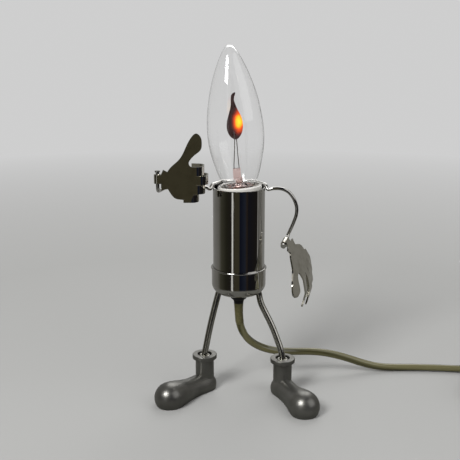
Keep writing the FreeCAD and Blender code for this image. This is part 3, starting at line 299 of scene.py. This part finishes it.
flex, tree, shader = new_material(
    "clear_golden_flex", Roughness=0.22, Coat_Weight=0.6, Coat_Roughness=0.08, IOR=1.53
)
lay = tree.nodes.new("ShaderNodeUVMap")
lay.uv_map = "lay"
# The colour follows the two lobes round the cord: near black along the grooves between them, which
# is painted shade, and lighter along the middle of each lobe, which is painted light. A noise adds
# random streaks.
across = add(tree, "ShaderNodeSeparateXYZ", Vector=lay.outputs["UV"]).outputs["X"]
streak = math_node(tree, "MULTIPLY", noise(tree, lay.outputs["UV"], 60.0), 0.3)
groove_shade_and_streaks = math_node(tree, "ADD", math_node(tree, "ABSOLUTE", across), streak)
colour = ramp(tree, groove_shade_and_streaks, [
    (0.0, (0.030, 0.027, 0.009)), (0.35, (0.066, 0.061, 0.024)), (0.8, (0.115, 0.107, 0.047)),
    (1.0, (0.150, 0.138, 0.066)),
])
tree.links.new(colour, shader.inputs["Base Color"])
dress(flex, "flex", "inner_cord", "inner_leads")

# Strain relief: a short tapered sleeve of soft plastic on the cord where it comes out of the
# bush. Its wide foot fills the bush's mouth and is black, the rest has the cord's own colour.
RELIEF_LENGTH = 20.0 * MM
RELIEF_START = 2.0 * MM
RELIEF_TOP = 4.15 * MM
RELIEF_END = 2.85 * MM
RELIEF_TAPER = 4
RELIEF_RIBS = 5
RELIEF_RIB_DEPTH = 0.05
RELIEF_LIP = 1.01
RELIEF_BLACK_HEIGHT = 59.6 * MM
RELIEF_BLACK_BLUR = 0.3 * MM
RELIEF_BLACK = (0.006, 0.006, 0.006, 1.0)
GOLDEN_PLASTIC = [(0.3, (0.075, 0.068, 0.026)), (0.7, (0.125, 0.115, 0.050))]

reach = even <= RELIEF_LENGTH - RELIEF_START
sleeve_line = np.vstack((line[0] + (0, 0, RELIEF_START), line[reach]))
share = np.linspace(0, 1, len(sleeve_line))
sleeve_radius = RELIEF_END + (RELIEF_TOP - RELIEF_END) * (1 - share) ** RELIEF_TAPER
ribs = 0.5 + 0.5 * np.cos(2 * math.pi * RELIEF_RIBS * share)
sleeve_radius = sleeve_radius * (1 - RELIEF_RIB_DEPTH * ribs)
sleeve_radius[-1] = CORD_RADIUS * RELIEF_LIP
relief = surface("strain_relief", swept(sleeve_line, sleeve_radius[:, None]), close_v=True)
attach(relief, "stand")

relief_plastic, tree, shader = new_material(
    "strain_relief_plastic", Roughness=0.4, Specular_IOR_Level=0.3
)
place = object_place(tree)
height = add(tree, "ShaderNodeSeparateXYZ", Vector=place).outputs["Z"]
foot = between(
    tree, height, RELIEF_BLACK_HEIGHT - RELIEF_BLACK_BLUR, RELIEF_BLACK_HEIGHT + RELIEF_BLACK_BLUR
)
golden = ramp(tree, noise(tree, place, 900.0), GOLDEN_PLASTIC)
tree.links.new(colour_mix(tree, foot, golden, RELIEF_BLACK), shader.inputs["Base Color"])
dress(relief_plastic, "strain_relief")

# Plug: a moulded two-blade body in the cord's own clear plastic, with flat brass blades. The
# mould leaves a faint flow pattern and a fine grain.
moulded, tree, shader = new_material("moulded_plug_plastic", Roughness=0.3, Coat_Weight=0.4)
place = object_place(tree)
colour = ramp(tree, noise(tree, place, 160.0, 3.0), GOLDEN_PLASTIC)
tree.links.new(colour, shader.inputs["Base Color"])
raise_surface(tree, shader, noise(tree, place, 2600.0), 0.12, 0.2 * MM)
dress(moulded, "plug_body")


def marks_group():
    """Handling marks for polished metal: cloudy smudges and short fine scratches.

    The smudge is a noise with its lower half cut away. The scratches are a noise that is
    stretched fiftyfold along one way, kept only at its peaks.
    """
    group = bpy.data.node_groups.new("handling_marks", "ShaderNodeTree")
    for name, kind in (("Vector", "NodeSocketVector"), ("Size", "NodeSocketFloat")):
        group.interface.new_socket(name, in_out="INPUT", socket_type=kind)
    for name in ("Smudge", "Scratch"):
        group.interface.new_socket(name, in_out="OUTPUT", socket_type="NodeSocketFloat")
    start = group.nodes.new("NodeGroupInput")
    end = group.nodes.new("NodeGroupOutput")
    cloud = noise(group, start.outputs["Vector"], start.outputs["Size"], 4.0, 0.6)
    stretched = add(
        group, "ShaderNodeMapping", Vector=start.outputs["Vector"], Rotation=(0.3, 0.5, 0.2),
        Scale=(3000.0, 3000.0, 60.0),
    )
    fine = noise(group, stretched.outputs["Vector"], 1.0, 1.0)
    group.links.new(between(group, cloud, 0.45, 0.75), end.inputs["Smudge"])
    group.links.new(between(group, fine, 0.66, 0.8), end.inputs["Scratch"])
    return group


# Body tube and bottom cup: drawn and spun steel, polished and chromed. Both carry faint smudges
# and hairline marks, and the cup hides the tube's lower edge under its beaded lip.
handling_marks = marks_group()


def polished(name, colour, dull, size, roughness=0.05):
    """A mirror-polished metal: its colour and roughness drift with the smudges."""
    material, tree, shader = new_material(name, Metallic=1.0)
    marks = add(tree, "ShaderNodeGroup")
    marks.node_tree = handling_marks
    tree.links.new(object_place(tree), marks.inputs["Vector"])
    marks.inputs["Size"].default_value = size
    smudge = marks.outputs["Smudge"]
    scratch = marks.outputs["Scratch"]
    mixed = colour_mix(tree, smudge, (*colour, 1.0), (*dull, 1.0))
    tree.links.new(mixed, shader.inputs["Base Color"])
    rough = math_node(tree, "MULTIPLY_ADD", smudge, 0.05, roughness)
    rough = math_node(tree, "MULTIPLY_ADD", scratch, 0.12, rough)
    tree.links.new(rough, shader.inputs["Roughness"])
    raise_surface(tree, shader, scratch, 0.2, 0.02 * MM)
    return material


chrome = polished("chrome_plate", (0.56, 0.55, 0.53), (0.47, 0.46, 0.43), 45.0)
dress(chrome, "body_tube", "bottom_cup")

# Leg plate, lamp pipe, nuts and bracket: zinc-plated steel inside the tube, with the dull
# crystalline bloom of zinc.
zinc, tree, shader = new_material("zinc_plated_steel", Metallic=1.0, Roughness=0.36)
bloom = add(tree, "ShaderNodeTexVoronoi", Vector=object_place(tree), Scale=420.0)
colour = ramp(tree, bloom.outputs["Distance"], [
    (0.0, (0.46, 0.48, 0.50)), (0.8, (0.62, 0.63, 0.62)),
])
tree.links.new(colour, shader.inputs["Base Color"])
dress(
    zinc, "leg_plate", "lamp_pipe", "pipe_nuts", "leg_nuts", "holder_bracket", "pivot_screws",
    "terminal_screws",
)

# Cord bush: a black tapered plastic ring on the pipe's lower end, with a fine moulded grain. The
# insulator under the bulb's cap is of the same black.
black, tree, shader = new_material(
    "black_bush_plastic", Roughness=0.5, Specular_IOR_Level=0.2
)
grain = noise(tree, object_place(tree), 1800.0, 3.0)
colour = ramp(tree, grain, [(0.3, (0.006, 0.006, 0.006)), (0.7, (0.016, 0.015, 0.014))])
tree.links.new(colour, shader.inputs["Base Color"])
raise_surface(tree, shader, grain, 0.25, 0.1 * MM)
dress(black, "cord_grommet", "bulb_insulator")

# Legs: bowed steel rods, chromed like the tube, nutted on the plate and set in the boots. Their
# chrome is duller than the tube's.
rod_chrome = polished("rod_chrome", (0.46, 0.45, 0.41), (0.36, 0.35, 0.31), 90.0, 0.16)
dress(rod_chrome, "leg_left", "leg_right")

# Boots: cast metal with a satin grey coat, a soft sheen on each toe and a fine cast skin. The
# coat is a little cloudy.
cast, tree, shader = new_material("cast_boot_metal", Metallic=0.9)
place = object_place(tree)
cloud = noise(tree, place, 70.0, 3.0)
colour = ramp(tree, cloud, [(0.35, (0.175, 0.172, 0.160)), (0.65, (0.235, 0.232, 0.216))])
tree.links.new(colour, shader.inputs["Base Color"])
rough = math_node(tree, "MULTIPLY_ADD", cloud, 0.12, 0.30)
tree.links.new(rough, shader.inputs["Roughness"])
raise_surface(tree, shader, noise(tree, place, 1500.0, 4.0, 0.65), 0.22, 0.12 * MM)
dress(cast, "boot_left", "boot_right")

# Collar beads: a bright ring pressed round each rod in the recess of the boot's collar. Each
# boot's ankle is in millimetres from the tube's axis.
ANKLES = {"left": (-23.0, -5.0), "right": (29.4, -12.0)}
BEAD_RADIUS = 2.95 * MM
BEAD_THICK = 0.75 * MM
BEAD_HEIGHT = 23.7 * MM
BEAD_AROUND = 48
BEAD_ACROSS = 16


def torus(name, centre, large, small):
    """A ring: a circle of radius small carried round a circle of radius large."""
    u = np.linspace(0, 2 * math.pi, BEAD_AROUND, endpoint=False)[:, None]
    v = np.linspace(0, 2 * math.pi, BEAD_ACROSS, endpoint=False)[None, :]
    out = large + small * np.cos(v)
    points = np.stack((out * np.cos(u), out * np.sin(u), small * np.sin(v) + 0 * u), -1)
    return surface(name, points + centre, close_u=True, close_v=True)


for name, (x, y) in ANKLES.items():
    centre = (np.array((x, y, 0.0)) + TUBE_AXIS) * MM + (0, 0, BEAD_HEIGHT)
    bead = torus(f"collar_bead_{name}", centre, BEAD_RADIUS, BEAD_THICK)
    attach(bead, "stand")
    dress(rod_chrome, bead.name)

# Lampholder: glazed white porcelain with a few pinholes, whose ring shows above the tube's rim.
# The glaze is a thin clear coat.
porcelain, tree, shader = new_material("glazed_porcelain", Roughness=0.16, Coat_Weight=0.5)
colour = ramp(tree, noise(tree, object_place(tree), 700.0), [
    (0.25, (0.62, 0.57, 0.50)), (0.33, (0.80, 0.78, 0.73)), (0.7, (0.84, 0.82, 0.78)),
])
tree.links.new(colour, shader.inputs["Base Color"])
dress(porcelain, "lampholder_body")

# Screw shell, contacts, terminals and plug blades: drawn brass, darker and duller where it has
# tarnished.
brass, tree, shader = new_material("drawn_brass", Metallic=1.0)
tarnish = noise(tree, object_place(tree), 200.0, 4.0)
colour = ramp(tree, tarnish, [(0.35, (0.50, 0.35, 0.13)), (0.65, (0.80, 0.60, 0.28))])
tree.links.new(colour, shader.inputs["Base Color"])
rough = math_node(tree, "MULTIPLY_ADD", tarnish, 0.2, 0.14)
tree.links.new(rough, shader.inputs["Roughness"])
dress(brass, "screw_shell", "centre_contact", "terminals", "bulb_cap", "plug_blades")

# Solder contact: a dull drop under the bulb's cap, with the dimples that it sets with.
solder, tree, shader = new_material("dull_solder", Metallic=1.0, Roughness=0.4)
dimple = noise(tree, object_place(tree), 900.0)
colour = ramp(tree, dimple, [(0.3, (0.40, 0.40, 0.39)), (0.7, (0.58, 0.58, 0.56))])
tree.links.new(colour, shader.inputs["Base Color"])
dress(solder, "bulb_contact")

# Bulb glass: a clear blown candle shape. The wall is a little uneven, so reflections ripple.
# The ripples are long up the bulb and short round it.
glass, tree, shader = new_material(
    "clear_blown_glass", Base_Color=(1.0, 1.0, 1.0, 1.0), Roughness=0.0, IOR=1.42,
    Transmission_Weight=1.0,
)
stretched = add(
    tree, "ShaderNodeMapping", Vector=object_place(tree), Scale=(260.0, 260.0, 60.0)
)
ripple = noise(tree, stretched.outputs["Vector"], 1.0, 1.0)
raise_surface(tree, shader, ripple, 0.10, 0.4 * MM)
dress(glass, "bulb_glass")

# Stem: the glass foot of the electrodes, pink where it is pressed round the wires. The press
# leaves an uneven skin.
stem, tree, shader = new_material(
    "pink_stem_glass", Base_Color=(0.93, 0.70, 0.66, 1.0), Roughness=0.12, IOR=1.5,
    Transmission_Weight=0.88,
)
raise_surface(tree, shader, noise(tree, object_place(tree), 500.0), 0.3, 0.2 * MM)
dress(stem, "bulb_stem")

# Stem disc: brown mica in small flakes, which closes the neck under the stem.
mica, tree, shader = new_material("brown_mica", Roughness=0.45)
flake = add(tree, "ShaderNodeTexVoronoi", Vector=object_place(tree), Scale=700.0)
colour = ramp(tree, flake.outputs["Distance"], [
    (0.0, (0.19, 0.050, 0.018)), (0.8, (0.095, 0.024, 0.009)),
])
tree.links.new(colour, shader.inputs["Base Color"])
dress(mica, "stem_disc")

# Flame plates: thin sheets with a dark oxide coat. The neon glow hugs them: yellow right of
# their middle, orange round that and deep red along the edges. Centre and size in millimetres.
GLOW_CENTRE = (1.7, 15.7, 181.6)
GLOW_SIZE = (5.0, 12.0, 9.6)
GLOW_UNEVEN = 0.35
flame, tree, shader = new_material(
    "glowing_flame_plate", Roughness=0.55, Specular_IOR_Level=0.15, Emission_Strength=1.6
)
place = object_place(tree)
around = add(tree, "ShaderNodeVectorMath", _0=place, _1=tuple(MM * c for c in GLOW_CENTRE))
around.operation = "SUBTRACT"
scaled = add(
    tree, "ShaderNodeVectorMath", _0=around.outputs[0], _1=tuple(MM * size for size in GLOW_SIZE)
)
scaled.operation = "DIVIDE"
away = add(tree, "ShaderNodeVectorMath", _0=scaled.outputs[0])
away.operation = "LENGTH"
flicker = noise(tree, place, 260.0)
uneven = math_node(tree, "MULTIPLY", math_node(tree, "SUBTRACT", flicker, 0.5), GLOW_UNEVEN)
glow = ramp(tree, math_node(tree, "ADD", away.outputs["Value"], uneven), [
    (0.0, (1.0, 0.66, 0.03)), (0.34, (1.0, 0.40, 0.010)), (0.55, (0.62, 0.060, 0.003)),
    (0.80, (0.10, 0.006, 0.002)), (1.0, (0.010, 0.001, 0.001)),
])
tree.links.new(glow, shader.inputs["Emission Color"])
coat = ramp(tree, flicker, [(0.3, (0.006, 0.0015, 0.001)), (0.7, (0.015, 0.004, 0.003))])
tree.links.new(coat, shader.inputs["Base Color"])
dress(flame, "flame_plate_front", "flame_plate_rear")

# Flame wires: steel with an uneven dark oxide from the heat of sealing.
wire, tree, shader = new_material("oxidised_wire", Metallic=0.8, Roughness=0.4)
oxide = noise(tree, object_place(tree), 1200.0)
colour = ramp(tree, oxide, [(0.3, (0.05, 0.045, 0.04)), (0.7, (0.13, 0.11, 0.10))])
tree.links.new(colour, shader.inputs["Base Color"])
dress(wire, "flame_wires")

# Arm wire: one chromed steel wire that lies on the rim and is bent by hand into both arms. It
# has more marks than the tube, from the bending.
arm_chrome = polished("arm_wire_chrome", (0.64, 0.63, 0.61), (0.46, 0.44, 0.41), 140.0, 0.08)
dress(arm_chrome, "arm_yoke")

# Hands: cut and folded from polished sheet, with small smudges where fingers have turned them.
sheet_metal = polished("polished_sheet", (0.62, 0.60, 0.54), (0.46, 0.44, 0.38), 160.0, 0.07)
dress(sheet_metal, "hand_left", "hand_right")


def mirror_rays(tree):
    """1 for a ray that a mirror sends out, else 0, and the ray kinds that it is worked out from.

    A ray through clear glass counts as glossy too, so the transmission rays are taken away.
    """
    rays = tree.nodes.new("ShaderNodeLightPath").outputs
    apart = math_node(tree, "SUBTRACT", rays["Is Glossy Ray"], rays["Is Transmission Ray"])
    return math_node(tree, "MAXIMUM", apart, 0.0), rays


def direct_rays(tree, rays):
    """1 for a ray straight from the camera or through clear glass, else 0."""
    return math_node(tree, "MAXIMUM", rays["Is Camera Ray"], rays["Is Transmission Ray"])


# Floor: a plain pale surface that fades to the background far away. Mirrors see a darker floor
# near the lamp, and past it the room in the floor's place. Distances from the frame's origin.
FLOOR_HALF = 6.0
FLOOR_COLOUR = (0.44, 0.44, 0.43, 1.0)
FLOOR_IN_MIRRORS = (0.17, 0.17, 0.155, 1.0)
BACKGROUND = (0.62, 0.62, 0.62, 1.0)
MIRRORED_EDGE = (0.10, 0.17)
FLOOR_FADE = (0.35, 1.10)
span = (-FLOOR_HALF, FLOOR_HALF)
floor = surface("floor", np.array([[[x, y, 0.0] for y in span] for x in span]))
floor_material, tree, shader = new_material("pale_floor", Roughness=0.9, Specular_IOR_Level=0.1)
mirrors, rays = mirror_rays(tree)
shade = colour_mix(tree, mirrors, FLOOR_COLOUR, FLOOR_IN_MIRRORS)
tree.links.new(shade, shader.inputs["Base Color"])
distance = add(tree, "ShaderNodeVectorMath", _0=object_place(tree))
distance.operation = "LENGTH"
distance = distance.outputs["Value"]
fade = add(tree, "ShaderNodeEmission", Color=BACKGROUND, Strength=1.0)
faded = math_node(tree, "MULTIPLY", between(tree, distance, *FLOOR_FADE), direct_rays(tree, rays))
lit = add(tree, "ShaderNodeMixShader", _0=faded, _1=shader.outputs[0], _2=fade.outputs[0])
unseen = math_node(tree, "MULTIPLY", between(tree, distance, *MIRRORED_EDGE), mirrors)
clear = tree.nodes.new("ShaderNodeBsdfTransparent")
mixed = add(tree, "ShaderNodeMixShader", _0=unseen, _1=lit.outputs[0], _2=clear.outputs[0])
tree.links.new(mixed.outputs[0], tree.nodes["Material Output"].inputs["Surface"])
dress(floor_material, "floor")

# Lamps: a soft key lamp above and to the left, a weaker one at the right and one behind. Each is
# aimed at the middle of the figure. Place, size and power.
LAMPS = {
    "key": ((-0.75, -0.95, 1.15), 0.55, 19.0),
    "fill": ((1.0, -0.5, 0.8), 1.1, 4.0),
    "back": ((0.2, 0.9, 1.0), 1.0, 6.0),
}
AIM = np.array((0.0, 0.0, 0.1))
for name, (place, size, power) in LAMPS.items():
    lamp = bpy.data.lights.new(name, "AREA")
    lamp.size = size
    lamp.energy = power
    thing = bpy.data.objects.new(name, lamp)
    thing.location = place
    aim = AIM - np.array(place)
    thing.rotation_euler = (
        math.acos(-aim[2] / np.linalg.norm(aim)), 0.0, math.atan2(aim[0], -aim[1]) + math.pi
    )
    bpy.context.scene.collection.objects.link(thing)

# Room: an even sky lights the lamp, and the camera sees a plain background. Mirrors see a pale
# room behind the lamp, a dark one in front and one bright window strip left of its middle.
# Each stop is a share of the full turn, from the back round by the left, front and right.
SKY_STRENGTH = 0.32
ROOM = [
    (0.0, (0.30, 0.30, 0.29)), (0.215, (0.17, 0.165, 0.15)), (0.262, (0.060, 0.058, 0.042)),
    (0.34, (0.022, 0.021, 0.014)), (0.408, (0.018, 0.016, 0.014)), (0.413, (0.90, 0.90, 0.87)),
    (0.426, (0.90, 0.90, 0.87)), (0.431, (0.008, 0.008, 0.010)), (0.445, (0.052, 0.047, 0.030)),
    (0.500, (0.052, 0.047, 0.030)), (0.512, (0.006, 0.008, 0.018)), (0.575, (0.018, 0.022, 0.034)),
    (0.60, (0.028, 0.020, 0.014)), (0.615, (0.010, 0.010, 0.014)), (0.745, (0.014, 0.012, 0.010)),
    (0.757, (0.42, 0.41, 0.39)), (0.770, (0.035, 0.034, 0.030)), (0.785, (0.20, 0.195, 0.18)),
    (1.0, (0.30, 0.30, 0.29)),
]
world = bpy.data.worlds.new("studio")
bpy.context.scene.world = world
world.use_nodes = True
tree = world.node_tree
tree.nodes.clear()
output = tree.nodes.new("ShaderNodeOutputWorld")
direction = tree.nodes.new("ShaderNodeTexCoord").outputs["Generated"]
along = add(tree, "ShaderNodeSeparateXYZ", Vector=direction).outputs
forward = math_node(tree, "MULTIPLY", along["Y"], -1.0)
bearing = math_node(tree, "ARCTAN2", along["X"], forward)
turn_share = math_node(tree, "MULTIPLY_ADD", bearing, 0.5 / math.pi, 0.5)
mirrors, rays = mirror_rays(tree)
sky = add(tree, "ShaderNodeBackground", Color=(1.0, 1.0, 1.0, 1.0), Strength=SKY_STRENGTH)
seen = add(tree, "ShaderNodeBackground", Color=BACKGROUND, Strength=1.0)
mirrored = add(tree, "ShaderNodeBackground", Color=ramp(tree, turn_share, ROOM), Strength=1.0)
direct = direct_rays(tree, rays)
first = add(tree, "ShaderNodeMixShader", _0=direct, _1=sky.outputs[0], _2=seen.outputs[0])
second = add(
    tree, "ShaderNodeMixShader", _0=mirrors, _1=first.outputs[0], _2=mirrored.outputs[0]
)
tree.links.new(second.outputs[0], output.inputs["Surface"])

bpy.context.scene.view_settings.view_transform = "Standard"
